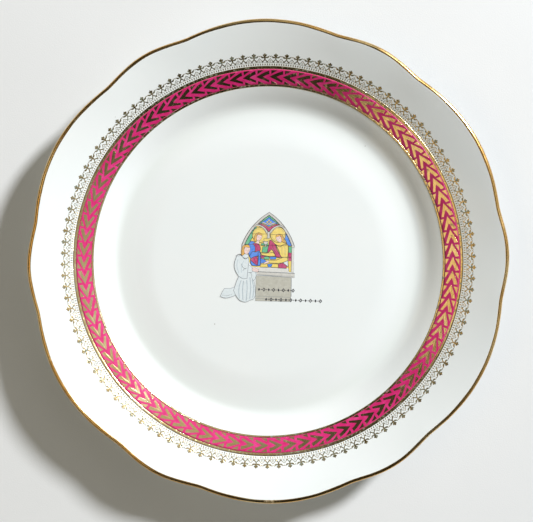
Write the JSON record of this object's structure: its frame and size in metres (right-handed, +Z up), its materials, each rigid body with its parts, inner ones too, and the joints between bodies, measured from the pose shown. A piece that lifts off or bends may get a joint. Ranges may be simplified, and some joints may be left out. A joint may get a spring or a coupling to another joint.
{
  "type": "souvenir plate",
  "caption": "Round lobed porcelain plate with a gilt rim, a deep pink enamel band with a gilt leaf garland, a gilt lace border and a small printed picture in the well.",
  "frame": {"origin": "centre of the foot ring's resting face, at the bottom of the plate", "axes": "+Z up out of the plate's face, +Y towards the top of the printed picture, +X to the picture's right"},
  "size_m": [0.239, 0.2408, 0.0236],
  "materials": {
    "porcelain": "gloss",
    "gilding": "satin",
    "enamel": "gloss",
    "glass_colours": "gloss",
    "stone_print": "gloss",
    "robe_print": "gloss",
    "line_print": "gloss"
  },
  "bodies": {
    "root": {"plate_body": "porcelain", "rim_gilding": "gilding", "inner_gilt_line": "gilding", "outer_gilt_line": "gilding", "leaf_garland": "gilding", "lace_border": "gilding", "enamel_band": "enamel", "window_panes": "glass_colours", "window_tracery": "stone_print", "altar": "stone_print", "kneeling_child": "robe_print", "upper_rule": "line_print", "lower_rule": "line_print"}
  },
  "joints": []
}
